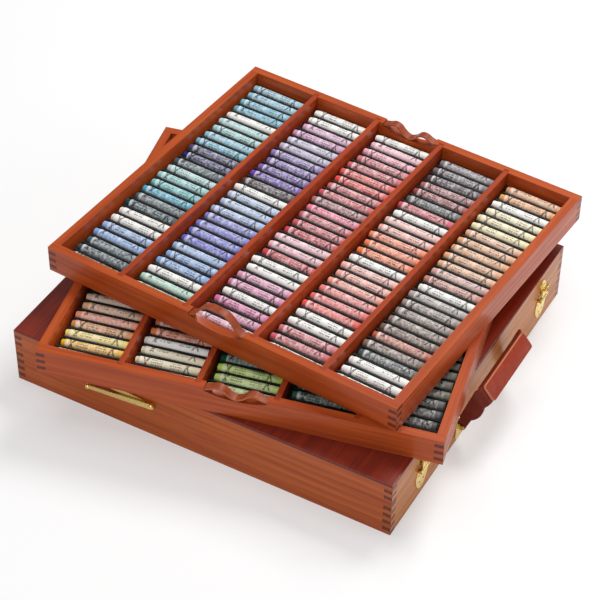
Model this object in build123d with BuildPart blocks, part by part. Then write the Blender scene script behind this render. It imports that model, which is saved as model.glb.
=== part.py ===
from build123d import *
from math import atan2, cos, pi, radians, sin, sqrt
import os

# A hinged wooden case for soft pastels, closed, with its two lift-out trays stacked on the lid.
# Millimetres, +Z up. The origin is the centre of the case's underside, and the front,
# with the handle and the latches, faces -Y.

# ---------------------------------------------------------------- driving dimensions

# The sticks, in V-shaped cradles of foam. The trays and the case are sized round them.
sticks_per_bay = 25
stick_pitch = 13.5
stick_width = 11.4
stick_length = 65.0
stick_sides = 8
stick_stray = 2.2
stick_below_rim = 8.8
cradle_gap = 0.2
foam_side_gap = 0.3

# The trays, each with a row of bays and a shift and turn of its own where it is stacked.
bays = 5
bay_side_play = 2.5
bay_end_play = 5.86
tray_height = 29.15
tray_board = 9.0
tray_bottom = 3.0
tray_rabbet = 4.5
tray_fingers = 7
divider_board = 5.5
divider_housing = 4.0
divider_top_gap = 0.6
mid_tray_shift = (-10.0, -2.5)
mid_tray_turn = 12.06
top_tray_shift = (38.4, -4.6)
top_tray_turn = -3.97

# The case: boards joined by box fingers, a bottom let into a rabbet, a panel laid on the lid.
tray_play = (5.0, 0.7, 0.6)
tray_rest_gap = 0.1
seam_height = 41.5
seam_gap = 0.3
case_board = 8.5
case_bottom = 4.0
bottom_rabbet = 4.5
lid_panel = 2.4
lid_panel_round = 1.0
base_fingers = 9
lid_fingers = 5

# The scooped finger notch in each side board of a tray, bridged by a flat leather pull strap
# whose tongues are let into slots in the notch's ends.
notch_end_wall = 0.93
notch_shoulder = 4.0
notch_depth = 9.2
strap_thickness = 1.8
strap_width = 8.2
strap_tongue = (6.0, 4.0)
strap_below_rim = 2.4
strap_gap = 0.2
strap_arcs = 6
mid_tray_sag = {"left": (5.0, -5.6), "right": (2.0, -5.6)}
top_tray_sag = {"left": (9.2, 18.4), "right": (5.4, -5.6)}

# The butt hinges at the rear, let into the seam.
hinge_inset = 70.0
hinge_length = 48.0
hinge_leaf = 1.2
hinge_leaf_depth = 6.8
hinge_barrel = 4.6
hinge_pin = 2.4
hinge_stand = 0.15
mortise_gap = 0.15
knuckle_gap = 0.3
pin_gap = 0.08

# The latches.
latch_inset = (60.5, 51.5)
latch_plate = 0.9
latch_plate_width = 24.0
latch_plate_foot = 9.0
latch_foot_rise = 5.0
latch_hole = 2.2
latch_pivot_below_seam = 4.9
latch_pivot_stand = 3.2
latch_barrel = 3.4
latch_pin = 1.6
latch_knuckle = 3.6
lever_width = 9.6
lever_thickness = 1.1
lever_reach = 15.6
lever_window = (4.4, 3.4)
nose_size = (3.4, 2.0)
lever_curl = 3.0
nose_reach = 5.2
catch_width = 15.0
catch_height = 15.2
catch_lift = 1.2

# The carrying handle.
grip_length = 86.6
grip_width = 19.7
grip_thickness = 12.0
grip_round = 3.2
grip_tilt = 40.0
grip_stand = 22.4
grip_height = 64.5
handle_strap = 3.6
handle_bend = 7.0
handle_leg_spread = 98.0
handle_edge = 0.8
handle_pivot_stand = 4.8
handle_pivot_height = 19.5
handle_pin = 2.6
handle_pin_rise = 0.5
handle_eye = 6.6
handle_lip = 5.0
handle_heel = 14.0
handle_belly = ((0.32, 0.38), (0.85, 0.655))
keeper_plate = (15.0, 26.0, 1.2)
keeper_drop = 3.5
keeper_ear = 1.5
keeper_gap = 0.4

# The folding stay on the left side; each pivot is given from the rear face and the seam.
stay_bar = 1.5
stay_gap = 0.5
stay_lower_width = 6.6
stay_lower_tip = 4.6
stay_upper_width = 5.4
stay_base_place = (86.0, -8.0)
stay_knuckle_place = (157.5, 0.0)
stay_lid_place = (69.5, 6.0)
stay_screw = 2.6
stay_screw_head = 5.0
stay_head_rise = 1.2
stay_head_edge = 0.7
stay_screw_bite = 6.0
stay_rivet_head = 5.4

# ---------------------------------------------------------------- worked-out places

bay_length = sticks_per_bay * stick_pitch + bay_side_play
bay_depth = stick_length + bay_end_play
bay_pitch = bay_depth + divider_board
tray_width = bay_length + 2 * tray_board
tray_depth = bays * bay_pitch - divider_board + 2 * tray_board
case_width = tray_width + tray_play[0] + 2 * case_board
case_depth = tray_depth + tray_play[1] + 2 * case_board
case_height = case_bottom + 2 * tray_height + tray_play[2] + lid_panel
front = -case_depth / 2
rear = case_depth / 2
left = -case_width / 2
right = case_width / 2
base_top = seam_height - seam_gap / 2
lid_foot = seam_height + seam_gap / 2
lid_board_height = case_height - lid_panel - lid_foot
hinge_axis_y = rear + hinge_barrel / 2 + hinge_stand
hinge_spread = case_width - 2 * hinge_inset
latch_places = (("left", left + latch_inset[0]), ("right", right - latch_inset[1]))
notch_width = bay_depth - 2 * (strap_tongue[1] + notch_end_wall)
stay_base_pivot, stay_knuckle, stay_lid_pivot = [
    (rear - back, seam_height + up) for back, up in (stay_base_place, stay_knuckle_place, stay_lid_place)]
os.makedirs("parts", exist_ok=True)


def save(piece, name):
    """Labels a finished piece and writes it under its own name."""
    piece.label = name
    export_step(piece, f"parts/{name}.step")


# ---------------------------------------------------------------- boards with box fingers

def finger_board(length, height, thickness, neighbour, fingers, owns_ends):
    """A board standing in the XZ plane, its outer face at Y = 0 and its body towards +Y.

    Both ends are cut into fingers as long as the neighbour is thick. A board that owns its
    ends keeps the top and bottom finger, and its neighbour has the ones between.
    """
    finger = height / fingers
    cut = [i for i in range(fingers) if (i % 2 == 1) == owns_ends]
    spots = [(side * (length - neighbour) / 2, (i + 0.5) * finger) for i in cut for side in (-1, 1)]
    with BuildPart() as board:
        with BuildSketch(Plane.XZ):
            with Locations((0, height / 2)):
                Rectangle(length, height)
            with Locations(*spots):
                Rectangle(neighbour, finger, mode=Mode.SUBTRACT)
        extrude(amount=-thickness)
    return board.part


def turned(board, side, width, depth, foot):
    """Stands a board on its side of a frame: front, rear, left or right."""
    place = {
        "front": Location((0, -depth / 2, foot), (0, 0, 0)),
        "rear": Location((0, depth / 2, foot), (0, 0, 180)),
        "left": Location((-width / 2, 0, foot), (0, 0, -90)),
        "right": Location((width / 2, 0, foot), (0, 0, 90)),
    }
    return board.moved(place[side])


def hinge_mortises(foot):
    """The shallow beds of the hinge leaves in a rear board, as one tool."""
    bed = hinge_leaf_depth + mortise_gap
    with BuildPart() as beds:
        with Locations((-hinge_spread / 2, rear, foot), (hinge_spread / 2, rear, foot)):
            Box(hinge_length + 2 * mortise_gap, 2 * bed, hinge_leaf,
                align=(Align.CENTER, Align.CENTER, Align.MIN))
    return beds.part


rabbet_width = case_width - 2 * (case_board - bottom_rabbet)
rabbet_depth = case_depth - 2 * (case_board - bottom_rabbet)

for side in ("front", "rear", "left", "right"):
    across = side in ("front", "rear")
    length = case_width if across else case_depth
    with BuildPart() as base_wall:
        add(turned(finger_board(length, base_top, case_board, case_board, base_fingers, not across),
                   side, case_width, case_depth, 0))
        Box(rabbet_width, rabbet_depth, case_bottom, mode=Mode.SUBTRACT,
            align=(Align.CENTER, Align.CENTER, Align.MIN))
        if side == "rear":
            add(hinge_mortises(base_top - hinge_leaf), mode=Mode.SUBTRACT)
        if side == "left":
            with Locations(Location((left, *stay_base_pivot), (0, 90, 0))):
                Cylinder(stay_screw / 2, 2 * stay_screw_bite, mode=Mode.SUBTRACT)
    save(base_wall.part, f"base_{side}_board")

    with BuildPart() as lid_wall:
        add(turned(finger_board(length, lid_board_height, case_board, case_board, lid_fingers, not across),
                   side, case_width, case_depth, lid_foot))
        if side == "rear":
            add(hinge_mortises(lid_foot), mode=Mode.SUBTRACT)
        if side == "left":
            with Locations(Location((left, *stay_lid_pivot), (0, 90, 0))):
                Cylinder(stay_screw / 2, 2 * stay_screw_bite, mode=Mode.SUBTRACT)
    save(lid_wall.part, f"lid_{side}_board")

with BuildPart() as base_bottom:
    Box(rabbet_width, rabbet_depth, case_bottom, align=(Align.CENTER, Align.CENTER, Align.MIN))
save(base_bottom.part, "base_bottom_panel")

with BuildPart() as lid_top:
    with BuildSketch(Plane.XY.offset(case_height - lid_panel)):
        Rectangle(case_width, case_depth)
    extrude(amount=lid_panel)
    fillet(lid_top.faces().sort_by(Axis.Z)[-1].edges(), lid_panel_round)
save(lid_top.part, "lid_top_panel")

# ---------------------------------------------------------------- the butt hinges

knuckle = (hinge_length - 2 * knuckle_gap) / 3

for side_name, hinge_x in (("left", -hinge_spread / 2), ("right", hinge_spread / 2)):
    for leaf_name, leaf_z, leaf_sign, spots in (
        ("base", base_top, -1, (-1, 1)),
        ("lid", lid_foot, 1, (0,)),
    ):
        with BuildPart() as leaf:
            with Locations((hinge_x, rear - hinge_leaf_depth / 2, leaf_z + leaf_sign * hinge_leaf / 2)):
                Box(hinge_length, hinge_leaf_depth, hinge_leaf)
            for spot in spots:
                knuckle_x = hinge_x + spot * (knuckle + knuckle_gap)
                with Locations((knuckle_x, (rear + hinge_axis_y) / 2, leaf_z + leaf_sign * hinge_leaf / 2)):
                    Box(knuckle, hinge_axis_y - rear, hinge_leaf)
                with Locations(Location((knuckle_x, hinge_axis_y, seam_height), (0, 90, 0))):
                    Cylinder(hinge_barrel / 2, knuckle)
            with Locations(Location((hinge_x, hinge_axis_y, seam_height), (0, 90, 0))):
                Cylinder(hinge_pin / 2 + pin_gap, hinge_length, mode=Mode.SUBTRACT)
        save(leaf.part, f"hinge_{side_name}_{leaf_name}_leaf")

with BuildPart() as hinge_pins:
    for hinge_x in (-hinge_spread / 2, hinge_spread / 2):
        with Locations(Location((hinge_x, hinge_axis_y, seam_height), (0, 90, 0))):
            Cylinder(hinge_pin / 2, hinge_length)
save(hinge_pins.part, "hinge_pins")

# ---------------------------------------------------------------- the two latches

latch_axis_y = front - latch_pivot_stand
latch_pivot_height = seam_height - latch_pivot_below_seam
plate_shoulder = latch_pivot_height - latch_barrel / 2
plate_belly = latch_plate_foot + 0.62 * (plate_shoulder - latch_plate_foot)
lever_crest = latch_pivot_height + lever_reach
nose_height = latch_pivot_height + 0.62 * lever_reach
catch_foot = lid_foot + catch_lift
lever_gap = latch_pivot_stand - latch_barrel / 2

for side_name, latch_x in latch_places:
    knuckle_step = (lever_width + latch_knuckle) / 2 + knuckle_gap
    with BuildPart() as plate:
        # a leaf outline, pierced: straight shoulders, a full belly and a rounded foot
        with BuildSketch(Plane.XZ.offset(-front)):
            with BuildLine():
                half = latch_plate_width / 2
                top_half = knuckle_step + latch_knuckle / 2
                crown = Line((latch_x - top_half, plate_shoulder), (latch_x + top_half, plate_shoulder))
                flank = ThreePointArc(crown @ 1, (latch_x + half, plate_belly),
                                      (latch_x + 0.62 * half, latch_plate_foot + latch_foot_rise))
                foot = ThreePointArc(flank @ 1, (latch_x, latch_plate_foot),
                                     (latch_x - 0.62 * half, latch_plate_foot + latch_foot_rise))
                ThreePointArc(foot @ 1, (latch_x - half, plate_belly), crown @ 0)
            make_face()
            pierced = [(latch_x + dx * half, plate_belly + dz * half)
                       for dx, dz in ((-0.55, 0.35), (0.55, 0.35), (-0.3, -0.55), (0.3, -0.55), (0, -1.1))]
            with Locations(*pierced):
                Circle(latch_hole / 2, mode=Mode.SUBTRACT)
        extrude(amount=latch_plate)
        for step in (-knuckle_step, knuckle_step):
            with Locations(Location((latch_x + step, latch_axis_y, latch_pivot_height), (0, 90, 0))):
                Cylinder(latch_barrel / 2, latch_knuckle)
            with Locations((latch_x + step, (front + latch_axis_y) / 2, latch_pivot_height - latch_barrel / 4)):
                Box(latch_knuckle, latch_pivot_stand, latch_barrel / 2)
        with Locations(Location((latch_x, latch_axis_y, latch_pivot_height), (0, 90, 0))):
            Cylinder(latch_pin / 2 + pin_gap, 3 * lever_width, mode=Mode.SUBTRACT)
    save(plate.part, f"latch_{side_name}_plate")

    with BuildPart() as lever:
        # the side view: a knuckle, a straight tongue over the seam and a thumb curl at the top
        with BuildSketch(Plane.YZ.offset(latch_x - lever_width / 2)):
            with Locations((latch_axis_y, latch_pivot_height)):
                Circle(latch_barrel / 2)
            with BuildLine():
                inner_y = latch_axis_y + lever_thickness / 2
                outer_y = latch_axis_y - lever_thickness / 2
                curl = lever_curl
                stem = Line((inner_y, latch_pivot_height), (inner_y, lever_crest - curl))
                lip = ThreePointArc(stem @ 1, (inner_y - 0.3 * curl, lever_crest - 0.3 * curl),
                                    (inner_y - 1.3 * curl, lever_crest))
                tip = Line(lip @ 1, (outer_y - 1.3 * curl, lever_crest - lever_thickness))
                under = ThreePointArc(tip @ 1, (outer_y - 0.3 * curl, lever_crest - 0.75 * curl),
                                      (outer_y, lever_crest - 1.3 * curl))
                shin = Line(under @ 1, (outer_y, latch_pivot_height))
                Line(shin @ 1, stem @ 0)
            make_face()
        extrude(amount=lever_width)
        with Locations((latch_x, latch_axis_y, nose_height)):
            Box(lever_window[0], 3 * lever_thickness, lever_window[1], mode=Mode.SUBTRACT)
        with Locations(Location((latch_x, latch_axis_y, latch_pivot_height), (0, 90, 0))):
            Cylinder(latch_pin / 2 + pin_gap, 2 * lever_width, mode=Mode.SUBTRACT)
    save(lever.part, f"latch_{side_name}_lever")

    with BuildPart() as catch:
        # a pointed plate on the lid, with the nose that the lever's window closes over
        with BuildSketch(Plane.XZ.offset(-front)):
            with BuildLine():
                half = catch_width / 2
                foot = Line((latch_x - half, catch_foot), (latch_x + half, catch_foot))
                rise = ThreePointArc(foot @ 1, (latch_x + 0.86 * half, catch_foot + 0.66 * catch_height),
                                     (latch_x, catch_foot + catch_height))
                ThreePointArc(rise @ 1, (latch_x - 0.86 * half, catch_foot + 0.66 * catch_height), foot @ 0)
            make_face()
            with Locations((latch_x - 0.55 * half, catch_foot + 0.5 * catch_height),
                           (latch_x + 0.55 * half, catch_foot + 0.5 * catch_height)):
                Circle(latch_hole / 2, mode=Mode.SUBTRACT)
        extrude(amount=latch_plate)
        with Locations((latch_x, front - nose_reach / 2, nose_height)):
            Box(nose_size[0], nose_reach, nose_size[1])
    save(catch.part, f"latch_{side_name}_catch")

with BuildPart() as latch_pins:
    for side_name, latch_x in latch_places:
        with Locations(Location((latch_x, latch_axis_y, latch_pivot_height), (0, 90, 0))):
            Cylinder(latch_pin / 2, lever_width + 2 * (latch_knuckle + knuckle_gap))
save(latch_pins.part, "latch_pins")

# ---------------------------------------------------------------- the carrying handle

# In its side view the strap runs out from the face; "out" lies square to the grip's broad
# face and "down" runs along that face's width.
tilt = radians(grip_tilt)
grip_centre = (front - grip_stand, grip_height)
pivot = (front - handle_pivot_stand, handle_pivot_height)
out_way = (-cos(tilt), sin(tilt))
down_way = (-sin(tilt), -cos(tilt))


def side_point(out, down):
    """A point of the handle's side view, as (y, z), from the grip's centre."""
    return (grip_centre[0] + out * out_way[0] + down * down_way[0],
            grip_centre[1] + out * out_way[1] + down * down_way[1])


grip_plane = Plane(origin=(0, *grip_centre), x_dir=(1, 0, 0), z_dir=(0, *down_way))
pivot_out = (pivot[0] - grip_centre[0]) * out_way[0] + (pivot[1] - grip_centre[1]) * out_way[1]

with BuildPart() as strap:
    # the side outline: a round eye at the keeper, widening to the width of the grip
    with BuildSketch(Plane.YZ.offset(-handle_leg_spread / 2 - handle_strap)):
        with BuildLine():
            eye = handle_eye / 2
            half = grip_width / 2 - handle_edge
            inner_low = (pivot[0] + eye, pivot[1])
            outer_low = (pivot[0] - eye, pivot[1])
            outer_turn = side_point(-handle_lip, half)
            belly_low, belly = [(outer_low[0] + y * (outer_turn[0] - outer_low[0]),
                                 outer_low[1] + z * (outer_turn[1] - outer_low[1])) for y, z in handle_belly]
            inner_edge = Polyline(inner_low, (inner_low[0], pivot[1] + handle_heel),
                                  side_point(-handle_lip, -half), side_point(handle_strap / 2, -half),
                                  side_point(handle_strap / 2, half), outer_turn)
            outer_edge = ThreePointArc(inner_edge @ 1, belly, belly_low)
            Line(outer_edge @ 1, outer_low)
            ThreePointArc(outer_low, (pivot[0], pivot[1] - eye), inner_edge @ 0)
        make_face()
    extrude(amount=handle_leg_spread + 2 * handle_strap)
    # the front outline: two legs turning round into the core of the grip
    with BuildSketch(grip_plane.offset(-2 * grip_width)):
        for reach, mode in ((handle_strap / 2, Mode.ADD), (-handle_strap / 2, Mode.SUBTRACT)):
            half = handle_leg_spread / 2 + reach
            foot_out = 2 * pivot_out
            with BuildLine():
                bend = FilletPolyline((-half, foot_out), (-half, reach), (half, reach), (half, foot_out),
                                      radius=handle_bend + reach)
                Line(bend @ 1, bend @ 0)
            make_face(mode=mode)
    extrude(amount=4 * grip_width, mode=Mode.INTERSECT)
    with Locations(Location((0, *pivot), (0, 90, 0))):
        Cylinder(handle_pin / 2 + pin_gap, 2 * handle_leg_spread, mode=Mode.SUBTRACT)
save(strap.part, "handle_strap")

with BuildPart() as grip:
    # the padded wrap, closed round the strap's core
    with BuildSketch(Plane.YZ.offset(-grip_length / 2)):
        with Locations(Location((*grip_centre, 0), (0, 0, 180 - grip_tilt))):
            RectangleRounded(grip_thickness, grip_width, grip_round)
            Rectangle(handle_strap + 2 * strap_gap, grip_width - 2 * (handle_edge - strap_gap),
                      mode=Mode.SUBTRACT)
    extrude(amount=grip_length)
save(grip.part, "handle_grip")

for side_name, keeper_x in (("left", -handle_leg_spread / 2), ("right", handle_leg_spread / 2)):
    with BuildPart() as keeper:
        with Locations((keeper_x, front - keeper_plate[2] / 2, handle_pivot_height - keeper_drop)):
            Box(keeper_plate[0], keeper_plate[2], keeper_plate[1])
        fillet(keeper.edges().filter_by(Axis.Y), keeper_plate[0] / 3)
        for way in (-1, 1):
            ear_x = keeper_x + way * (handle_strap / 2 + keeper_gap + keeper_ear / 2)
            with Locations(Location((ear_x, *pivot), (0, 90, 0))):
                Cylinder(handle_pin, keeper_ear)
            with Locations((ear_x, (front + pivot[0]) / 2, handle_pivot_height)):
                Box(keeper_ear, handle_pivot_stand, 2 * handle_pin)
        with Locations(Location((keeper_x, *pivot), (0, 90, 0))):
            Cylinder(handle_pin / 2 + pin_gap, keeper_plate[0], mode=Mode.SUBTRACT)
    save(keeper.part, f"handle_{side_name}_keeper")

with BuildPart() as handle_pins:
    with Locations(*[Location((x, *pivot), (0, 90, 0)) for x in (-handle_leg_spread / 2, handle_leg_spread / 2)]):
        Cylinder(handle_pin / 2, handle_strap + 2 * (keeper_gap + keeper_ear + handle_pin_rise))
save(handle_pins.part, "handle_pins")

# ---------------------------------------------------------------- the folding stay

upper_inner = left - stay_gap
lower_inner = upper_inner - stay_bar - stay_gap
lower_outer = lower_inner - stay_bar


def stay_bar_shape(x_inner, ends, widths):
    """A flat bar with round ends, standing beside the left face, with a hole at each end."""
    with BuildPart() as bar:
        with BuildSketch(Plane.YZ.offset(x_inner - stay_bar)):
            for end, width in zip(ends, widths):
                with Locations(end):
                    Circle(width / 2)
            make_hull()
            with Locations(*ends):
                Circle(stay_screw / 2 + pin_gap, mode=Mode.SUBTRACT)
        extrude(amount=stay_bar)
    return bar.part


def stay_pin(x_tip, x_head, place, head_width, collar=None):
    """A domed pin along X; the collar keeps a bar off the wood."""
    with BuildPart() as pin:
        with Locations(Location((0, *place), (0, -90, 0))):
            with Locations((0, 0, -x_tip)):
                Cylinder(stay_screw / 2, x_tip - x_head, align=(Align.CENTER, Align.CENTER, Align.MIN))
            with Locations((0, 0, -x_head)):
                Cylinder(head_width / 2, stay_head_rise, align=(Align.CENTER, Align.CENTER, Align.MIN))
            if collar:
                with Locations((0, 0, -left)):
                    Cylinder(head_width / 2, left - collar, align=(Align.CENTER, Align.CENTER, Align.MIN))
        chamfer(pin.faces().sort_by(Axis.X)[0].edges(), stay_head_edge)
    return pin.part


save(stay_bar_shape(lower_inner, (stay_base_pivot, stay_knuckle), (stay_lower_tip, stay_lower_width)),
     "stay_lower_bar")
save(stay_bar_shape(upper_inner, (stay_knuckle, stay_lid_pivot), (stay_upper_width, stay_lower_tip)),
     "stay_upper_bar")
save(stay_pin(lower_inner, lower_outer, stay_knuckle, stay_rivet_head), "stay_rivet")
save(stay_pin(left + stay_screw_bite, lower_outer - pin_gap, stay_base_pivot, stay_screw_head,
              collar=lower_inner + pin_gap), "stay_base_screw")
save(stay_pin(left + stay_screw_bite, upper_inner - stay_bar - pin_gap, stay_lid_pivot, stay_screw_head),
     "stay_lid_screw")

# ---------------------------------------------------------------- the trays

mid_foot = case_height + tray_rest_gap
top_foot = mid_foot + tray_height + tray_rest_gap
tray_panel_width = tray_width - 2 * (tray_board - tray_rabbet)
tray_panel_depth = tray_depth - 2 * (tray_board - tray_rabbet)
stick_centre = tray_height - stick_below_rim - stick_width / 2
divider_places = [(i - bays / 2) * bay_pitch for i in range(1, bays)]
strap_end = notch_width / 2 + strap_tongue[1]
strap_level = tray_height - strap_below_rim


def strap_rail(hump, bow, side):
    """The upper or lower face of a pull strap in its side view, as (y, z).

    The hump lifts the two quarters of the strap, and the bow lifts or sinks its middle.
    """
    reach = side * strap_thickness / 2
    rail = []
    for i in range(2 * strap_arcs + 1):
        share = i / (2 * strap_arcs)
        rise = hump * sin(2 * pi * share) ** 2 + bow * sin(pi * share) ** 4
        slope = 2 * pi * hump * sin(4 * pi * share) + 4 * pi * bow * sin(pi * share) ** 3 * cos(pi * share)
        turn = atan2(slope, notch_width)
        rail.append(((share - 0.5) * notch_width - reach * sin(turn), strap_level + rise + reach * cos(turn)))
    return rail


def pull_strap(hump, bow):
    """A flat leather band over the notch, with a narrower tongue at each end."""
    low, high = strap_level - strap_thickness / 2, strap_level + strap_thickness / 2
    with BuildPart() as band:
        with BuildSketch(Plane.YZ.offset(-strap_width / 2)):
            with BuildLine():
                for side, edge in ((-1, low), (1, high)):
                    rail = strap_rail(hump, bow, side)
                    for i in range(0, 2 * strap_arcs, 2):
                        ThreePointArc(*rail[i:i + 3])
                    Line(rail[0], (-strap_end, edge))
                    Line(rail[-1], (strap_end, edge))
                Line((-strap_end, low), (-strap_end, high))
                Line((strap_end, low), (strap_end, high))
            make_face()
        extrude(amount=strap_width)
        shoulder = notch_width / 2 - strap_gap
        cheek = (strap_width - strap_tongue[0]) / 2
        for x in (-1, 1):
            for y in (-1, 1):
                with Locations((x * (strap_width - cheek) / 2, y * (shoulder + strap_end) / 2, strap_level)):
                    Box(cheek, strap_end - shoulder, 2 * strap_thickness, mode=Mode.SUBTRACT)
    return band.part


with BuildPart() as stick:
    with BuildSketch(Plane.XZ.offset(-stick_length / 2)):
        RegularPolygon(stick_width / 2, stick_sides, major_radius=False, rotation=180 / stick_sides)
    extrude(amount=stick_length)

with BuildPart() as cradle:
    half = bay_length / 2 - foam_side_gap
    valley = stick_centre - (stick_width / 2 + cradle_gap) * sqrt(2)
    ridge = valley + stick_pitch / 2
    first = -(sticks_per_bay - 1) / 2 * stick_pitch
    zigzag = []
    for i in range(sticks_per_bay):
        zigzag.append((first + i * stick_pitch, valley))
        zigzag.append((first + (i + 0.5) * stick_pitch, ridge))
    with BuildSketch(Plane.XZ.offset(-bay_depth / 2 + foam_side_gap)):
        with BuildLine():
            Polyline((-half, tray_bottom), (-half, ridge), (first - stick_pitch / 2, ridge), *zigzag,
                     (half, ridge), (half, tray_bottom), close=True)
        make_face()
    extrude(amount=bay_depth - 2 * foam_side_gap)

for tray, foot, shift, yaw, straps in (
    ("mid_tray", mid_foot, mid_tray_shift, mid_tray_turn, mid_tray_sag),
    ("top_tray", top_foot, top_tray_shift, top_tray_turn, top_tray_sag),
):
    seat = Location((*shift, foot), (0, 0, yaw))

    for side in ("front", "rear", "left", "right"):
        across = side in ("front", "rear")
        length = tray_width if across else tray_depth
        with BuildPart() as wall:
            add(turned(finger_board(length, tray_height, tray_board, tray_board, tray_fingers, not across),
                       side, tray_width, tray_depth, 0))
            Box(tray_panel_width, tray_panel_depth, tray_bottom, mode=Mode.SUBTRACT,
                align=(Align.CENTER, Align.CENTER, Align.MIN))
            if not across:
                outer = -tray_width / 2 if side == "left" else tray_width / 2
                middle = outer - tray_board / 2 if side == "right" else outer + tray_board / 2
                with Locations(*[(0, y, tray_bottom) for y in divider_places]):
                    Box(bay_length + 2 * divider_housing, divider_board, tray_height, mode=Mode.SUBTRACT,
                        align=(Align.CENTER, Align.CENTER, Align.MIN))
                with BuildSketch(Plane.YZ.offset(outer - tray_board)):
                    with BuildLine():
                        half, rim = notch_width / 2, tray_height
                        scoop = ThreePointArc((-half, rim - notch_shoulder), (0, rim - notch_depth),
                                              (half, rim - notch_shoulder))
                        over = rim + notch_depth
                        Polyline(scoop @ 1, (half, over), (-half, over), scoop @ 0)
                    make_face()
                extrude(amount=2 * tray_board, mode=Mode.SUBTRACT)
                with Locations((middle, 0, strap_level)):
                    Box(strap_tongue[0] + 2 * strap_gap, 2 * (strap_end + strap_gap),
                        strap_thickness + 2 * strap_gap, mode=Mode.SUBTRACT)
        save(wall.part.moved(seat), f"{tray}_{side}_board")
        if not across:
            band = pull_strap(*straps[side]).moved(Location((middle, 0, 0)))
            save(band.moved(seat), f"{tray}_{side}_strap")

    with BuildPart() as panel:
        Box(tray_panel_width, tray_panel_depth, tray_bottom, align=(Align.CENTER, Align.CENTER, Align.MIN))
    save(panel.part.moved(seat), f"{tray}_bottom_panel")

    with BuildPart() as dividers:
        with Locations(*[(0, y, tray_bottom) for y in divider_places]):
            Box(bay_length + 2 * divider_housing, divider_board, tray_height - tray_bottom - divider_top_gap,
                align=(Align.CENTER, Align.CENTER, Align.MIN))
    save(dividers.part.moved(seat), f"{tray}_dividers")

    with BuildPart() as foam:
        with Locations(*[(0, (bay - (bays - 1) / 2) * bay_pitch, 0) for bay in range(bays)]):
            add(cradle.part)
    save(foam.part.moved(seat), f"{tray}_foam_cradles")

    for bay in range(bays):
        # the bays are counted from the rear; a stick strays a little along its cradle
        bay_y = ((bays - 1) / 2 - bay) * bay_pitch
        spots = []
        for i in range(sticks_per_bay):
            stray = stick_stray * sin(2.4 * i + 1.7 * bay + 0.5 * foot) * cos(0.9 * i * i + bay)
            spots.append(((i - (sticks_per_bay - 1) / 2) * stick_pitch, bay_y + stray, stick_centre))
        with BuildPart() as row:
            with Locations(*spots):
                add(stick.part)
        save(row.part.moved(seat), f"{tray}_sticks_bay_{bay + 1}")
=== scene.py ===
# A hinged wooden case for soft pastels, shut, with its two lift-out trays of wrapped sticks
# stacked askew on the lid. Metres, +Z up; the front, with handle and latches, faces -Y.
import math
import random

import bmesh
import bpy
from mathutils import Matrix, Vector


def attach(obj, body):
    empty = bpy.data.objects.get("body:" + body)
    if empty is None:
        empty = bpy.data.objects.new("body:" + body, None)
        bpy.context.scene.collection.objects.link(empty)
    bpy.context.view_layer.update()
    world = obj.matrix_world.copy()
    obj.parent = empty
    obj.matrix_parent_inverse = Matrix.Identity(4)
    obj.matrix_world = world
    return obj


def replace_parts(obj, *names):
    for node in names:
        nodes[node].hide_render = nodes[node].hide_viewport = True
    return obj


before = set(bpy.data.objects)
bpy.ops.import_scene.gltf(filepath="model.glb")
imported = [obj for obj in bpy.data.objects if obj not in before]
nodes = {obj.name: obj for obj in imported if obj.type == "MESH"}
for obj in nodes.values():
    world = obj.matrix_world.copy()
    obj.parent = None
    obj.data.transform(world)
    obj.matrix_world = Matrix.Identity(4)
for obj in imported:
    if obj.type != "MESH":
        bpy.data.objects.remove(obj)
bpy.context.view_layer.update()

# ---------------------------------------------------------------- the case's boards
# Solid hardwood boards, stained red-brown and lacquered, joined at the corners by box fingers.
# The grain runs along each board, so the fingers' ends show dark end grain.
# A board's own frame has X along the grain.


def place_node(tree, kind, **inputs):
    """Adds a shader node and fills its sockets: a value is set, a socket is linked."""
    node = tree.nodes.new(kind)
    for name, given in inputs.items():
        if name.startswith("set_"):
            setattr(node, name[4:], given)
            continue
        key = int(name[1:]) if name[0] == "i" and name[1:].isdigit() else name.replace("_", " ")
        if isinstance(given, bpy.types.NodeSocket):
            tree.links.new(given, node.inputs[key])
        else:
            node.inputs[key].default_value = given
    return node


def mixed(tree, factor, first, second):
    """The colour output of a mix node; the factor and colours may be values or sockets."""
    node = place_node(tree, "ShaderNodeMix", set_data_type="RGBA", i0=factor, i6=first, i7=second)
    return node.outputs[2]


def math_node(tree, operation, *values):
    """The output of a math node on up to three values or sockets."""
    node = place_node(tree, "ShaderNodeMath", set_operation=operation)
    for i, value in enumerate(values):
        if isinstance(value, bpy.types.NodeSocket):
            tree.links.new(value, node.inputs[i])
        else:
            node.inputs[i].default_value = value
    return node.outputs[0]


def eased(tree, value, low, high, to_low=0.0, to_high=1.0):
    """A smooth step of a socket from low..high to to_low..to_high."""
    node = place_node(tree, "ShaderNodeMapRange", set_interpolation_type="SMOOTHSTEP", i0=value,
                      i1=low, i2=high, i3=to_low, i4=to_high)
    return node.outputs[0]


def new_group(name, inputs, outputs):
    """An empty shader group with named sockets, and its two end nodes."""
    group = bpy.data.node_groups.new(name, "ShaderNodeTree")
    for socket, kind, value in inputs:
        made = group.interface.new_socket(socket, in_out="INPUT", socket_type="NodeSocket" + kind)
        if value is not None:
            made.default_value = value
    for socket, kind in outputs:
        group.interface.new_socket(socket, in_out="OUTPUT", socket_type="NodeSocket" + kind)
    return group, group.nodes.new("NodeGroupInput"), group.nodes.new("NodeGroupOutput")


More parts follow.
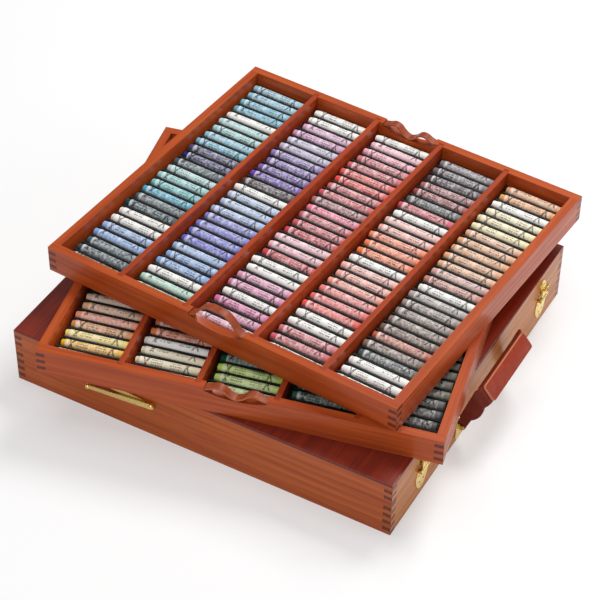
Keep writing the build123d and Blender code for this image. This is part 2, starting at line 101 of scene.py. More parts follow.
def stained_grain_group():
    """Stained grain: long streaks, fine pores, a blotchy stain, and dark end grain."""
    group, given, result = new_group(
        "stained grain",
        [("Place", "Vector", None), ("Facing", "Vector", None), ("Light", "Color", (0.5, 0.2, 0.08, 1)),
         ("Dark", "Color", (0.25, 0.07, 0.03, 1)), ("End", "Color", (0.1, 0.03, 0.015, 1)),
         ("Blotch", "Float", 0.25)],
        [("Color", "Color"), ("Roughness", "Float"), ("Height", "Float")])
    place = given.outputs["Place"]
    streaky = place_node(group, "ShaderNodeMapping", Vector=place, Scale=(7.0, 210.0, 210.0))
    streaks = place_node(group, "ShaderNodeTexNoise", Vector=streaky.outputs[0], Scale=1.0, Detail=4.0,
                         Roughness=0.6, Distortion=0.3)
    porous = place_node(group, "ShaderNodeMapping", Vector=place, Scale=(110.0, 1300.0, 1300.0))
    pores = place_node(group, "ShaderNodeTexNoise", Vector=porous.outputs[0], Scale=1.0, Detail=2.0)
    broad = place_node(group, "ShaderNodeMapping", Vector=place, Scale=(3.0, 22.0, 22.0))
    blotches = place_node(group, "ShaderNodeTexNoise", Vector=broad.outputs[0], Scale=1.0, Detail=3.0)
    streak = eased(group, streaks.outputs[0], 0.25, 0.75)
    pore = eased(group, pores.outputs[0], 0.55, 0.75)
    wood = mixed(group, streak, given.outputs["Dark"], given.outputs["Light"])
    wood = mixed(group, math_node(group, "MULTIPLY", pore, 0.3), wood, given.outputs["Dark"])
    stain = eased(group, blotches.outputs[0], 0.35, 0.7)
    stain = math_node(group, "MULTIPLY", stain, given.outputs["Blotch"])
    wood = mixed(group, stain, wood, given.outputs["Dark"])
    split = place_node(group, "ShaderNodeSeparateXYZ", Vector=given.outputs["Facing"])
    end_mask = math_node(group, "GREATER_THAN", math_node(group, "ABSOLUTE", split.outputs[0]), 0.8)
    end_wood = mixed(group, pore, given.outputs["End"], given.outputs["Dark"])
    wood = mixed(group, end_mask, wood, end_wood)
    group.links.new(wood, result.inputs["Color"])
    group.links.new(eased(group, streaks.outputs[0], 0.3, 0.7, 0.42, 0.3), result.inputs["Roughness"])
    height = math_node(group, "MULTIPLY_ADD", pores.outputs[0], 0.35, streaks.outputs[0])
    group.links.new(height, result.inputs["Height"])
    return group


stained_grain = stained_grain_group()


def new_material(name):
    """A material with a bare Principled shader, its tree and that shader."""
    material = bpy.data.materials.new(name)
    material.use_nodes = True
    tree = material.node_tree
    return material, tree, tree.nodes["Principled BSDF"]


def lacquered_wood(name, turn, light, dark, end, blotch=0.35, coat=0.2, relief=0.0002):
    """Lacquered wood whose grain runs along X turned by an angle about Z."""
    material, tree, shader = new_material(name)
    where = place_node(tree, "ShaderNodeTexCoord")
    place = place_node(tree, "ShaderNodeMapping", Vector=where.outputs["Object"], Rotation=(0, 0, -turn))
    facing = place_node(tree, "ShaderNodeMapping", set_vector_type="VECTOR", Vector=where.outputs["Normal"],
                        Rotation=(0, 0, -turn))
    grain = place_node(tree, "ShaderNodeGroup", set_node_tree=stained_grain)
    for socket, value in (("Light", light), ("Dark", dark), ("End", end)):
        grain.inputs[socket].default_value = (*value, 1)
    grain.inputs["Blotch"].default_value = blotch
    tree.links.new(place.outputs[0], grain.inputs["Place"])
    tree.links.new(facing.outputs[0], grain.inputs["Facing"])
    tree.links.new(grain.outputs["Color"], shader.inputs["Base Color"])
    tree.links.new(grain.outputs["Roughness"], shader.inputs["Roughness"])
    bump = place_node(tree, "ShaderNodeBump", Strength=0.25, Distance=relief, Height=grain.outputs["Height"])
    tree.links.new(bump.outputs[0], shader.inputs["Normal"])
    shader.inputs["Specular IOR Level"].default_value = 0.2
    shader.inputs["Coat Weight"].default_value = coat
    shader.inputs["Coat Roughness"].default_value = 0.14
    return material


def dress(node_names, material):
    """Gives CAD nodes one material in place of their packed one."""
    for name in node_names:
        slots = nodes[name].data.materials
        slots.clear()
        slots.append(material)


quarter = math.pi / 2
case_end = (0.12, 0.022, 0.008)
# The front and rear boards are coloured paler and yellower than the side boards: a painted sheen of the light
# on the front, on the same wood.
case_across_painted_sheen = lacquered_wood("case wood across with painted sheen", 0, (0.56, 0.21, 0.045), (0.42, 0.125, 0.022), case_end)
case_along = lacquered_wood("case wood along", quarter, (0.55, 0.125, 0.022), (0.34, 0.058, 0.01), case_end)
for part in ("base", "lid"):
    dress([f"{part}_front_board", f"{part}_rear_board"], case_across_painted_sheen)
    dress([f"{part}_left_board", f"{part}_right_board"], case_along)

# ---------------------------------------------------------------- the lid's panel and the bottom
# Thin veneered panels: the lid's is glued on top of its boards, the bottom sits in a rabbet.
# Both are polished a shade redder than the boards.
panel_wood = lacquered_wood("panel wood", 0, (0.27, 0.028, 0.01), (0.15, 0.013, 0.006), (0.12, 0.012, 0.006),
                            coat=0.5, relief=0.0001)
dress(["lid_top_panel", "base_bottom_panel"], panel_wood)

# ---------------------------------------------------------------- the hinges
# Two small brass butt hinges at the rear, let into the seam, each on one pin.


def sheet_brass(name, colour, roughness):
    """Lacquered sheet brass with faint scuffs."""
    material, tree, shader = new_material(name)
    where = place_node(tree, "ShaderNodeTexCoord")
    scuffs = place_node(tree, "ShaderNodeTexNoise", Vector=where.outputs["Object"], Scale=160.0, Detail=3.0)
    shade = mixed(tree, eased(tree, scuffs.outputs[0], 0.35, 0.8), (*colour, 1),
                  (colour[0] * 0.88, colour[1] * 0.84, colour[2] * 0.7, 1))
    tree.links.new(shade, shader.inputs["Base Color"])
    tree.links.new(eased(tree, scuffs.outputs[0], 0.3, 0.8, roughness, roughness + 0.12),
                   shader.inputs["Roughness"])
    shader.inputs["Metallic"].default_value = 1.0
    return material


brass = sheet_brass("brass", (0.95, 0.78, 0.3), 0.24)
dress(["hinge_left_base_leaf", "hinge_left_lid_leaf", "hinge_right_base_leaf", "hinge_right_lid_leaf",
       "hinge_pins"], brass)

# ---------------------------------------------------------------- the latches
# Stamped brass snap latches: a pierced leaf plate on the case, a lever that turns on a pin,
# and a catch plate on the lid. Dark round-headed nails sit in the piercings.
dress([f"latch_{side}_{piece}" for side in ("left", "right") for piece in ("plate", "lever", "catch")]
      + ["latch_pins"], brass)


def finished(mesh_builder, name, body, slot_name, *materials):
    """Turns a bmesh into a piece that rides a body, with its materials."""
    bmesh.ops.recalc_face_normals(mesh_builder, faces=mesh_builder.faces)
    mesh = bpy.data.meshes.new(name)
    mesh_builder.to_mesh(mesh)
    mesh_builder.free()
    piece = bpy.data.objects.new(name, mesh)
    bpy.context.scene.collection.objects.link(piece)
    for material in materials:
        mesh.materials.append(material)
    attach(piece, body)
    return piece


def smoothed(piece, angle=0.7):
    """Shades a piece smooth but for edges sharper than the angle."""
    mesh = piece.data
    mesh.polygons.foreach_set("use_smooth", [True] * len(mesh.polygons))
    mesh.set_sharp_from_angle(angle=angle)
    return piece


def nail_head(mesh_builder, centre, outward, radius, rise):
    """A domed nail head: a low half ball on a surface, facing outward."""
    turn = Vector((0, 0, 1)).rotation_difference(Vector(outward)).to_matrix().to_4x4()
    place = Matrix.Translation(centre) @ turn @ Matrix.Diagonal((radius, radius, rise, 1))
    made = bmesh.ops.create_uvsphere(mesh_builder, u_segments=12, v_segments=6, radius=1.0)
    below = [v for v in made["verts"] if v.co.z < -0.3]
    bmesh.ops.transform(mesh_builder, matrix=place, verts=made["verts"])
    bmesh.ops.delete(mesh_builder, geom=below, context="VERTS")
    rim = [e for e in mesh_builder.edges if e.is_boundary]
    bmesh.ops.holes_fill(mesh_builder, edges=rim)


dark_nail, _, nail_shader = new_material("dark nail")
nail_shader.inputs["Base Color"].default_value = (0.035, 0.028, 0.02, 1)
nail_shader.inputs["Metallic"].default_value = 0.6
nail_shader.inputs["Roughness"].default_value = 0.4
# each nail's place: across from the latch's middle, and height
plate_nails = ((-0.0066, 0.02926), (0.0066, 0.02926), (-0.0036, 0.01846), (0.0036, 0.01846), (0.0, 0.01186))
catch_nails = ((-0.004125, 0.05045), (0.004125, 0.05045))
nail_radius, nail_rise = 0.00105, 0.0008
plate_back = -0.2062
for side, latch_x in (("left", -0.1295), ("right", 0.1385)):
    for piece, body, spots in (("plate", "case_base", plate_nails), ("catch", "lid", catch_nails)):
        nails = bmesh.new()
        for across, height in spots:
            nail_head(nails, (latch_x + across, plate_back, height), (0, -1, 0), nail_radius, nail_rise)
        smoothed(finished(nails, f"latch_{side}_{piece}_nails", body, "brass", dark_nail))

# ---------------------------------------------------------------- the carrying handle
# A bent leather strap, and round its middle a stiff leather wrap in two layers: a broad outer
# one with a pale cut edge, paler still as a painted highlight, and an inner one coloured near
# black as painted shade. Two brass keepers hold the strap's ends.


def tanned_leather(name, colour, pale, edge_axis=None):
    """Smooth tanned leather; faces square to the edge axis show the pale cut edge."""
    material, tree, shader = new_material(name)
    where = place_node(tree, "ShaderNodeTexCoord")
    creases = place_node(tree, "ShaderNodeTexVoronoi", Vector=where.outputs["Object"], Scale=1100.0)
    wear = place_node(tree, "ShaderNodeTexNoise", Vector=where.outputs["Object"], Scale=120.0, Detail=5.0)
    shade = mixed(tree, eased(tree, wear.outputs[0], 0.4, 0.75, 0.0, 0.5), (*colour, 1), (*pale, 1))
    if edge_axis:
        facing = place_node(tree, "ShaderNodeVectorMath", set_operation="DOT_PRODUCT")
        tree.links.new(where.outputs["Normal"], facing.inputs[0])
        facing.inputs[1].default_value = edge_axis
        edge = eased(tree, math_node(tree, "ABSOLUTE", facing.outputs["Value"]), 0.75, 0.9)
        shade = mixed(tree, edge, shade, (*pale, 1))
    tree.links.new(shade, shader.inputs["Base Color"])
    shader.inputs["Specular IOR Level"].default_value = 0.25
    shader.inputs["Roughness"].default_value = 0.42
    bump = place_node(tree, "ShaderNodeBump", Strength=0.3, Distance=0.0002, Height=creases.outputs[0])
    tree.links.new(bump.outputs[0], shader.inputs["Normal"])
    return material


red_leather = tanned_leather("red leather", (0.28, 0.028, 0.009), (0.36, 0.055, 0.018))
# The inner layer's near-black colour is painted shade on the same red leather.
inner_leather_painted_shade = tanned_leather("inner leather with painted shade", (0.045, 0.008, 0.006), (0.08, 0.014, 0.009))
# The cut edge is paler leather, painted paler still as a highlight on its lit side.
cut_edge_and_highlight = tanned_leather("cut leather edge and painted highlight", (0.62, 0.26, 0.13), (0.5, 0.16, 0.07))
strap_red = tanned_leather("strap red", (0.16, 0.016, 0.008), (0.24, 0.03, 0.013))
dress(["handle_strap"], strap_red)


def rounded_slab(mesh_builder, size, centre, corner, rim, material):
    """A slab with corners rounded in plan and eased rims, in a material of its own."""
    made = bmesh.ops.create_cube(mesh_builder, size=1.0)
    bmesh.ops.scale(mesh_builder, vec=size, verts=made["verts"])
    bmesh.ops.translate(mesh_builder, vec=centre, verts=made["verts"])
    edges = {e for v in made["verts"] for e in v.link_edges}
    for face in {f for e in edges for f in e.link_faces}:
        face.material_index = material
    uprights = [e for e in edges if abs(e.verts[0].co.z - e.verts[1].co.z) > 1e-6]
    bmesh.ops.bevel(mesh_builder, geom=uprights, offset=corner, segments=4, profile=0.5,
                    affect="EDGES", material=-1)
    edges = {e for f in mesh_builder.faces if f.material_index == material for e in f.edges}
    rims = [e for e in edges if e.calc_face_angle(0.0) > 1.0]
    bmesh.ops.bevel(mesh_builder, geom=rims, offset=rim, segments=2, profile=0.5,
                    affect="EDGES", material=-1)


# In the wrap's own frame X runs along it, Y across its broad face and Z out of that face.
grip_middle, grip_tilt = (0, -0.2284, 0.0645), math.radians(40.0)
outer_leaf, outer_middle = (0.0862, 0.018, 0.004), (0, 0, 0.0036)
inner_leaf, inner_middle = (0.0848, 0.0168, 0.0078), (0, 0, -0.0019)
grip_place = Matrix.Translation(grip_middle) @ Matrix.Rotation(quarter - grip_tilt, 4, "X")
wrap = bmesh.new()
rounded_slab(wrap, outer_leaf, outer_middle, 0.0028, 0.0012, 0)
rounded_slab(wrap, inner_leaf, inner_middle, 0.0024, 0.0012, 1)
# The outer leaf's sides take the pale cut edge, partly a painted highlight.
for face in wrap.faces:
    if face.material_index == 0 and abs(face.normal.z) < 0.5:
        face.material_index = 2
bmesh.ops.transform(wrap, matrix=grip_place, verts=wrap.verts)
grip = finished(wrap, "handle_leather_wrap", "handle", "leather", red_leather, inner_leather_painted_shade, cut_edge_and_highlight)
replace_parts(smoothed(grip), "handle_grip")
dress(["handle_left_keeper", "handle_right_keeper", "handle_pins"], brass)

# ---------------------------------------------------------------- the folding stay
# Two flat brass bars on the left face, riveted together at a knuckle, hold the open lid.
dress(["stay_lower_bar", "stay_upper_bar", "stay_rivet", "stay_base_screw", "stay_lid_screw"], brass)

# ---------------------------------------------------------------- the trays' boards
# The same hardwood as the case, a little more orange, with the same box fingers and grooved-in
# dividers. Each tray lies turned on what carries it, so its grain is turned with it.
tray_light, tray_dark, tray_end = (0.53, 0.1, 0.018), (0.36, 0.05, 0.009), (0.13, 0.022, 0.009)
trays = {
    "mid_tray": (Vector((-0.010, -0.0025, 0.0654)), math.radians(12.06)),
    "top_tray": (Vector((0.0384, -0.0046, 0.09465)), math.radians(-3.97)),
}
for tray, (seat, yaw) in trays.items():
    across = lacquered_wood(f"{tray} wood across", yaw, tray_light, tray_dark, tray_end)
    along = lacquered_wood(f"{tray} wood along", yaw + quarter, tray_light, tray_dark, tray_end)
    # The dividers and the bottom panel are coloured darker than the boards: painted shade inside the tray, on
    # the same wood.
    inner = lacquered_wood(f"{tray} divider wood with painted shade", yaw, (0.46, 0.075, 0.016), (0.3, 0.035, 0.009), tray_end)
    dress([f"{tray}_front_board", f"{tray}_rear_board"], across)
    dress([f"{tray}_left_board", f"{tray}_right_board"], along)
    dress([f"{tray}_dividers", f"{tray}_bottom_panel"], inner)

# ---------------------------------------------------------------- the pull straps
# A flat leather band bridges the scooped notch in each side board, its tongues slotted into the
# notch's ends. It is cut from red-brown hide, with a paler edge.
for tray, (seat, yaw) in trays.items():
    strap_leather = tanned_leather(f"{tray} strap leather", (0.28, 0.045, 0.014), (0.45, 0.12, 0.04),
                                   (math.cos(yaw), math.sin(yaw), 0))
    dress([f"{tray}_left_strap", f"{tray}_right_strap"], strap_leather)

# ---------------------------------------------------------------- the foam cradles
# Black foam with V grooves, one strip to a bay, holds each stick apart from the next.
foam, foam_tree, foam_shader = new_material("black foam")
foam_where = place_node(foam_tree, "ShaderNodeTexCoord")
foam_cells = place_node(foam_tree, "ShaderNodeTexNoise", Vector=foam_where.outputs["Object"], Scale=1400.0)
foam_bump = place_node(foam_tree, "ShaderNodeBump", Strength=0.4, Distance=0.0003,
                       Height=foam_cells.outputs[0])
foam_tree.links.new(foam_bump.outputs[0], foam_shader.inputs["Normal"])
foam_shader.inputs["Base Color"].default_value = (0.012, 0.013, 0.012, 1)
foam_shader.inputs["Roughness"].default_value = 0.85
dress(["mid_tray_foam_cradles", "top_tray_foam_cradles"], foam)

# ---------------------------------------------------------------- the pastel sticks
# Soft pastel sticks, rolled in a paper wrapper that leaves both ends bare. Each family of
# pigments runs from its full strength to its palest tint, as such sets are filled.
# A wrapper is white paper tinted by its stick, with plain strokes and rows of dashes.
pigments = {
    "chalk": (0.93, 0.92, 0.88), "petrol": (0.005, 0.07, 0.1), "azure": (0.01, 0.26, 0.72),
    "cerulean": (0.0, 0.4, 0.6), "turquoise": (0.0, 0.5, 0.52), "navy": (0.015, 0.02, 0.16),
    "mint": (0.03, 0.62, 0.34), "ultramarine": (0.05, 0.07, 0.62), "violet": (0.12, 0.02, 0.42),
    "aubergine": (0.05, 0.012, 0.04), "orchid": (0.55, 0.1, 0.4), "magenta": (0.66, 0.02, 0.28),
    "crimson": (0.6, 0.012, 0.04), "rose": (0.85, 0.12, 0.25), "madder": (0.32, 0.02, 0.03),
    "scarlet": (0.8, 0.03, 0.015), "coral": (0.9, 0.22, 0.12), "orange": (0.9, 0.17, 0.01),
    "slate": (0.03, 0.05, 0.05), "umber": (0.16, 0.07, 0.03), "sienna": (0.5, 0.1, 0.03),
    "ochre": (0.75, 0.3, 0.04), "lemon": (0.9, 0.72, 0.12), "gold": (0.85, 0.5, 0.02),
    "lime": (0.5, 0.78, 0.05), "leaf": (0.03, 0.3, 0.05), "fir": (0.01, 0.11, 0.05),
    "olive": (0.1, 0.1, 0.03), "soot": (0.02, 0.02, 0.02),
}
# for each bay, from left to right: a pigment, how many sticks, and their first and last tint
families = {
    "top_tray_sticks_bay_1": (("petrol", 3, 0.0, 0.1), ("azure", 2, 0.4, 0.6), ("chalk", 2, 0, 0),
                              ("petrol", 2, 0.0, 0.15), ("cerulean", 1, 0.1, 0.1),
                              ("turquoise", 3, 0.3, 0.85), ("petrol", 1, 0.1, 0.1), ("navy", 2, 0.0, 0.1),
                              ("cerulean", 2, 0.3, 0.5), ("turquoise", 2, 0.7, 0.85), ("chalk", 1, 0, 0),
                              ("cerulean", 4, 0.25, 0.6)),
    "top_tray_sticks_bay_2": (("mint", 2, 0.75, 0.85), ("chalk", 1, 0, 0), ("azure", 3, 0.4, 0.6),
                              ("ultramarine", 4, 0.15, 0.4), ("azure", 3, 0.75, 0.9), ("chalk", 1, 0, 0),
                              ("aubergine", 1, 0.1, 0.1), ("violet", 4, 0.1, 0.4), ("violet", 2, 0.85, 0.95),
                              ("orchid", 2, 0.45, 0.65), ("chalk", 2, 0, 0)),
    "top_tray_sticks_bay_3": (("magenta", 3, 0.7, 0.3), ("chalk", 1, 0, 0), ("magenta", 2, 0.45, 0.6),
                              ("chalk", 2, 0, 0), ("crimson", 1, 0.1, 0.1), ("rose", 2, 0.8, 0.9),
                              ("crimson", 3, 0.1, 0.3), ("rose", 1, 0.2, 0.2), ("madder", 1, 0.3, 0.3),
                              ("crimson", 2, 0.2, 0.3), ("scarlet", 2, 0.1, 0.2), ("crimson", 2, 0.25, 0.35),
                              ("rose", 2, 0.6, 0.8), ("chalk", 1, 0, 0)),
    "top_tray_sticks_bay_4": (("chalk", 1, 0, 0), ("crimson", 2, 0.25, 0.35), ("chalk", 2, 0, 0),
                              ("scarlet", 3, 0.15, 0.4), ("coral", 3, 0.35, 0.7), ("chalk", 1, 0, 0),
                              ("orange", 3, 0.1, 0.25), ("coral", 2, 0.65, 0.85), ("chalk", 1, 0, 0),
                              ("crimson", 1, 0.2, 0.2), ("slate", 1, 0.2, 0.2), ("madder", 2, 0.1, 0.25),
                              ("aubergine", 3, 0.1, 0.4)),
    "top_tray_sticks_bay_5": (("chalk", 3, 0, 0), ("slate", 1, 0.1, 0.1), ("umber", 1, 0.2, 0.2),
                              ("sienna", 1, 0.05, 0.05), ("umber", 4, 0.1, 0.45), ("umber", 1, 0.7, 0.7),
                              ("chalk", 1, 0, 0), ("sienna", 2, 0.3, 0.6), ("ochre", 3, 0.45, 0.3),
                              ("ochre", 2, 0.35, 0.5), ("lemon", 3, 0.7, 0.92), ("chalk", 1, 0, 0),
                              ("ochre", 2, 0.15, 0.3)),
    "mid_tray_sticks_bay_1": (("gold", 1, 0.6, 0.6), ("gold", 1, 0, 0), ("lemon", 1, 0.2, 0.2),
                              ("ochre", 1, 0.1, 0.1), ("orange", 1, 0.4, 0.4), ("ochre", 2, 0.4, 0.7),
                              ("sienna", 6, 0.1, 0.8), ("ochre", 6, 0.1, 0.8), ("umber", 6, 0.1, 0.8)),
    "mid_tray_sticks_bay_2": (("lemon", 3, 0.8, 0.95), ("chalk", 1, 0, 0), ("orange", 5, 0.1, 0.7),
                              ("coral", 5, 0.1, 0.8), ("sienna", 6, 0.1, 0.8), ("umber", 5, 0.1, 0.8)),
    "mid_tray_sticks_bay_3": (("lime", 3, 0.5, 0.1), ("fir", 2, 0.0, 0.1), ("leaf", 6, 0.1, 0.8),
                              ("lime", 6, 0.1, 0.8), ("mint", 8, 0.1, 0.9)),
    "mid_tray_sticks_bay_4": (("fir", 6, 0.0, 0.3), ("leaf", 7, 0.0, 0.7), ("mint", 6, 0.1, 0.8),
                              ("turquoise", 6, 0.1, 0.8)),
    "mid_tray_sticks_bay_5": (("chalk", 1, 0, 0), ("soot", 3, 0.0, 0.15), ("olive", 5, 0.1, 0.5),
                              ("slate", 8, 0.1, 0.8), ("soot", 8, 0.1, 0.8)),
}

chance = random.Random(7)


def bare_pastel():
    """Powdery pigment, the stick's own colour."""
    material, tree, shader = new_material("bare pastel")
    tint = place_node(tree, "ShaderNodeAttribute", set_attribute_name="tint")
    where = place_node(tree, "ShaderNodeTexCoord")
    powder = place_node(tree, "ShaderNodeTexNoise", Vector=where.outputs["Object"], Scale=700.0, Detail=3.0)
    shade = mixed(tree, eased(tree, powder.outputs[0], 0.5, 0.8, 0.0, 0.1), tint.outputs["Color"],
                  (0.8, 0.8, 0.8, 1))
    tree.links.new(shade, shader.inputs["Base Color"])
    shader.inputs["Specular IOR Level"].default_value = 0.1
    shader.inputs["Roughness"].default_value = 0.9
    return material


def wrapper_paper():
    """Paper tinted by its stick, printed with slanted strokes near its ends and rows of dashes."""
    material, tree, shader = new_material("wrapper paper")

    def near(value, centre, reach, fade):
        """One where a socket lies within reach of a centre, fading to zero outside."""
        off = math_node(tree, "ABSOLUTE", math_node(tree, "SUBTRACT", value, centre))
        return eased(tree, off, reach, reach + fade, 1.0, 0.0)

    def both(first, second):
        """One where both masks are."""
        return math_node(tree, "MULTIPLY", first, second)

    def either(first, second):
        """The greater of two masks."""
        return math_node(tree, "MAXIMUM", first, second)

    tint = place_node(tree, "ShaderNodeAttribute", set_attribute_name="tint").outputs["Color"]
    wrap = place_node(tree, "ShaderNodeUVMap", set_uv_map="wrap").outputs[0]
    split = place_node(tree, "ShaderNodeSeparateXYZ", Vector=wrap)
    along, around = math_node(tree, "FRACT", split.outputs[0]), split.outputs[1]
    cloud = place_node(tree, "ShaderNodeMapping", Vector=wrap, Scale=(24.0, 8.0, 1.0))
    cloud = place_node(tree, "ShaderNodeTexNoise", set_noise_dimensions="2D", Vector=cloud.outputs[0],
                       Scale=1.0, Detail=4.0, Roughness=0.65).outputs[0]
    print_noise = place_node(tree, "ShaderNodeMapping", Vector=wrap, Scale=(62.0, 16.0, 1.0))
    print_noise = place_node(tree, "ShaderNodeTexNoise", set_noise_dimensions="2D",
                             Vector=print_noise.outputs[0], Scale=1.0, Detail=1.0).outputs[0]
    # two columns of three rows of dashes, on the side that faces up
    rows = near(around, 0.0, 0.016, 0.01)
    for row in (0.085, -0.085):
        rows = either(rows, near(around, row, 0.016, 0.01))
    columns = either(near(along, 0.36, 0.085, 0.01), near(along, 0.65, 0.085, 0.01))
    dashes = both(both(rows, columns), eased(tree, print_noise, 0.42, 0.5, 0.0, 0.85))
    # a pair of slanted strokes near each end, broken as if smudged
    slant = math_node(tree, "MULTIPLY", around, 0.2)
    patch = near(around, 0.02, 0.16, 0.05)
    strokes = either(near(math_node(tree, "ADD", along, slant), 0.21, 0.011, 0.008),
                     near(math_node(tree, "SUBTRACT", along, slant), 0.185, 0.009, 0.008))
    strokes = either(strokes, near(math_node(tree, "ADD", along, slant), 0.805, 0.014, 0.008))
    strokes = either(strokes, near(math_node(tree, "SUBTRACT", along, slant), 0.83, 0.007, 0.008))
    strokes = both(both(strokes, patch), eased(tree, print_noise, 0.3, 0.5, 0.3, 1.0))
    marks = either(dashes, strokes)
    depth = eased(tree, cloud, 0.3, 0.66, 0.42, 0.9)
    depth = either(depth, eased(tree, along, 0.13, 0.1, 0.0, 0.92))
    paper = mixed(tree, depth, (0.93, 0.92, 0.9, 1), tint)
    paper = mixed(tree, both(near(along, 0.885, 0.01, 0.01), 0.5), paper, (0.92, 0.91, 0.9, 1))
    ink = mixed(tree, 0.18, (0.012, 0.012, 0.016, 1), tint)
    shade = mixed(tree, math_node(tree, "MULTIPLY", marks, 0.95), paper, ink)
    tree.links.new(shade, shader.inputs["Base Color"])
    shader.inputs["Specular IOR Level"].default_value = 0.35
    shader.inputs["Roughness"].default_value = 0.42
    return material


pastel_body, wrapper = bare_pastel(), wrapper_paper()
stick_radius, wrapper_radius, stick_sides = 0.0047, 0.0049, 12
stick_pitch, sticks_per_bay = 0.0135, 25
# how far a stick's middle sinks below its solid's, and how far foam stands above that middle
stick_sink, crest_width, crest_rise = 0.0008, 0.0024, 0.0024
palest = 0.6


def add_stick(mesh_builder, low, high, tint, number, layers):
    """One stick along Y from low to high: a lathed body, bare at its ends, wrapped between."""
    bare_near, bare_far = chance.uniform(0.0012, 0.0026), chance.uniform(0.0045, 0.0075)
    profile = (
        (0.0, low), (stick_radius, low), (wrapper_radius, low + bare_near), (wrapper_radius, high - bare_far),
        (stick_radius, high - bare_far + 0.0001), (stick_radius * 0.82, high - 0.001), (0.0, high),
    )
    line = [mesh_builder.verts.new((0.0, y, r)) for r, y in profile]
    edges = [mesh_builder.edges.new(pair) for pair in zip(line, line[1:])]
    before = set(mesh_builder.verts) - set(line)
    bmesh.ops.spin(mesh_builder, geom=line + edges, cent=(0, 0, 0), axis=(0, 1, 0), angle=2 * math.pi,
                   steps=stick_sides, use_merge=True)
    verts = [v for v in mesh_builder.verts if v not in before]
    bmesh.ops.remove_doubles(mesh_builder, verts=verts, dist=1e-6)
    verts = [v for v in mesh_builder.verts if v not in before]
    turn = chance.uniform(-0.1, 0.1)
    colour_layer, uv_layer = layers
    for vertex in verts:
        vertex[colour_layer] = (*tint, 1)
    for face in {f for v in verts for f in v.link_faces}:
        middle = face.calc_center_median()
        middle_angle = math.atan2(middle.x, middle.z)
        face.smooth = True
        face.material_index = 1 if low + bare_near < middle.y < high - bare_far else 0
        for loop in face.loops:
            spot = loop.vert.co
            angle = math.atan2(spot.x, spot.z) if math.hypot(spot.x, spot.z) > 1e-6 else middle_angle
            angle -= 2 * math.pi * round((angle - middle_angle) / (2 * math.pi))
            # whole numbers keep the sticks' patterns apart; the shader reads the rest
            along = (spot.y - low) / (high - low) * 0.998 + 3 * number
            loop[uv_layer].uv = (along, angle / (2 * math.pi) + turn)
    return verts


def add_crest(mesh_builder, across, low, high, bottom, top):
    """A thin crest of foam along Y between two sticks, narrower at its top."""
    made = bmesh.ops.create_cube(mesh_builder, size=1.0)["verts"]
    for vertex in made:
        if vertex.co.z > 0:
            vertex.co.x *= 0.6
    bmesh.ops.scale(mesh_builder, vec=(crest_width, high - low, top - bottom), verts=made)
    bmesh.ops.translate(mesh_builder, vec=(across, (low + high) / 2, (bottom + top) / 2), verts=made)


for node_name, runs in families.items():
    tray = node_name.split("_sticks")[0]
    seat, yaw = trays[tray]
    to_world = Matrix.Translation(seat) @ Matrix.Rotation(yaw, 4, "Z")
    to_tray = to_world.inverted()
    # the ends of each stick are read off its solid
    ends, heights = {}, []
    for vertex in nodes[node_name].data.vertices:
        local = to_tray @ vertex.co
        number = round(local.x / stick_pitch + (sticks_per_bay - 1) / 2)
        low, high = ends.get(number, (9.0, -9.0))
        ends[number] = (min(low, local.y), max(high, local.y))
        heights.append(local.z)
    centre_z = (min(heights) + max(heights)) / 2 - stick_sink
    tints = []
    for pigment, count, first, last in runs:
        for i in range(count):
            paleness = palest * (first + (last - first) * (i / max(1, count - 1)))
            tints.append([c + (0.9 - c) * paleness for c in pigments[pigment]])
    rolls = bmesh.new()
    layers = rolls.verts.layers.float_color.new("tint"), rolls.loops.layers.uv.new("wrap")
    for number, (low, high) in sorted(ends.items()):
        verts = add_stick(rolls, low, high, tints[number], number, layers)
        middle = (low + high) / 2
        askew = Matrix.Rotation(chance.uniform(-0.018, 0.018), 4, "Z") @ Matrix.Translation((0, -middle, 0))
        place = Matrix.Translation(((number - (sticks_per_bay - 1) / 2) * stick_pitch, middle, centre_z))
        bmesh.ops.transform(rolls, matrix=to_world @ place @ askew, verts=verts)
    piece = finished(rolls, node_name + "_wrapped", tray, "pastel", pastel_body, wrapper)
    piece.data.set_sharp_from_angle(angle=0.9)
    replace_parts(piece, node_name)
    # between two sticks the foam stands up in a thin crest, a little above their middle
    crests = bmesh.new()
    for number in range(sticks_per_bay - 1):
        low, high = ends[number]
        across = (number + 0.5 - (sticks_per_bay - 1) / 2) * stick_pitch
        add_crest(crests, across, low, high, min(heights) + 0.001, centre_z + crest_rise)
    bmesh.ops.transform(crests, matrix=to_world, verts=crests.verts)
    finished(crests, node_name.replace("_sticks", "") + "_foam_crests", tray, "foam", foam)

# ---------------------------------------------------------------- floor, light and camera
# A white sweep under soft studio light: a large lamp high on the right, a broad one overhead
# and weak ones on the left and in front. The camera stands where the photograph was taken from.
floor_mesh = bmesh.new()
bmesh.ops.create_grid(floor_mesh, x_segments=1, y_segments=1, size=6.0)
bmesh.ops.translate(floor_mesh, verts=floor_mesh.verts, vec=(0, 0, -0.0002))
floor_data = bpy.data.meshes.new("floor")
floor_mesh.to_mesh(floor_data)
floor_mesh.free()
floor = bpy.data.objects.new("floor", floor_data)
bpy.context.scene.collection.objects.link(floor)
floor_white, floor_tree, floor_shader = new_material("floor white")
floor_shader.inputs["Base Color"].default_value = (0.95, 0.95, 0.95, 1)
floor_shader.inputs["Roughness"].default_value = 0.9
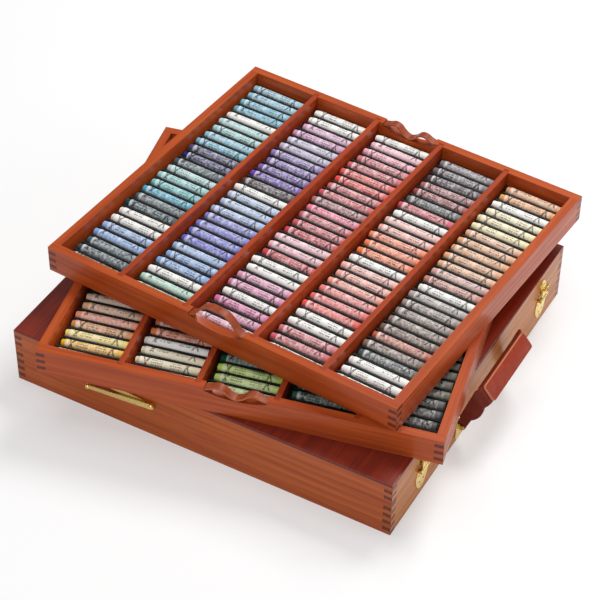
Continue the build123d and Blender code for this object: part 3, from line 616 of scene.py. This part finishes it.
# to the camera the floor turns to plain white away from the object, and its shadow is light
floor_where = place_node(floor_tree, "ShaderNodeTexCoord")
floor_reach = place_node(floor_tree, "ShaderNodeVectorMath", set_operation="LENGTH",
                         i0=floor_where.outputs["Object"])
floor_ray = place_node(floor_tree, "ShaderNodeLightPath")
floor_lift = math_node(floor_tree, "MULTIPLY", floor_ray.outputs["Is Camera Ray"],
                       eased(floor_tree, floor_reach.outputs["Value"], 0.4, 1.2, 0.4, 1.0))
plain_white = place_node(floor_tree, "ShaderNodeEmission", Color=(1, 1, 1, 1), Strength=1.0)
floor_look = place_node(floor_tree, "ShaderNodeMixShader", i0=floor_lift, i1=floor_shader.outputs[0],
                        i2=plain_white.outputs[0])
floor_tree.links.new(floor_look.outputs[0], floor_tree.nodes["Material Output"].inputs["Surface"])
floor_data.materials.append(floor_white)

world = bpy.data.worlds.new("studio")
bpy.context.scene.world = world
world.use_nodes = True
sky = world.node_tree
ray = place_node(sky, "ShaderNodeLightPath")
background = sky.nodes["Background"]
background.inputs["Color"].default_value = (1, 1, 1, 1)
sky.links.new(eased(sky, ray.outputs["Is Camera Ray"], 0.0, 1.0, 0.3, 1.0), background.inputs["Strength"])

lamps = (
    ("key lamp", (1.2, -0.3, 1.9), 0.8, 31), ("top lamp", (-0.1, 0.3, 2.3), 1.2, 10),
    ("left lamp", (-1.8, -0.2, 1.2), 1.0, 8), ("front lamp", (0.6, -1.9, 0.9), 1.0, 8),
)
for name, place, size, power in lamps:
    lamp = bpy.data.lights.new(name, "AREA")
    lamp.size = size
    lamp.energy = power
    stand = bpy.data.objects.new(name, lamp)
    stand.location = place
    stand.rotation_euler = (Vector((0, 0, 0.06)) - Vector(place)).to_track_quat("-Z", "Y").to_euler()
    bpy.context.scene.collection.objects.link(stand)

eye = bpy.data.cameras.new("camera")
eye.lens, eye.sensor_width = 119.27, 36.0
viewer = bpy.data.objects.new("camera", eye)
bpy.context.scene.collection.objects.link(viewer)
right, up = (0.487542, -0.873028, 0.011198), (0.585128, 0.336230, 0.737953)
back, stand_point = (-0.648019, -0.353231, 0.674759), (-1.28229, -0.70405, 1.38465)
viewer.matrix_world = Matrix((*(tuple(row) for row in zip(right, up, back, stand_point)), (0, 0, 0, 1)))
bpy.context.scene.camera = viewer
bpy.context.scene.view_settings.view_transform = "Standard"
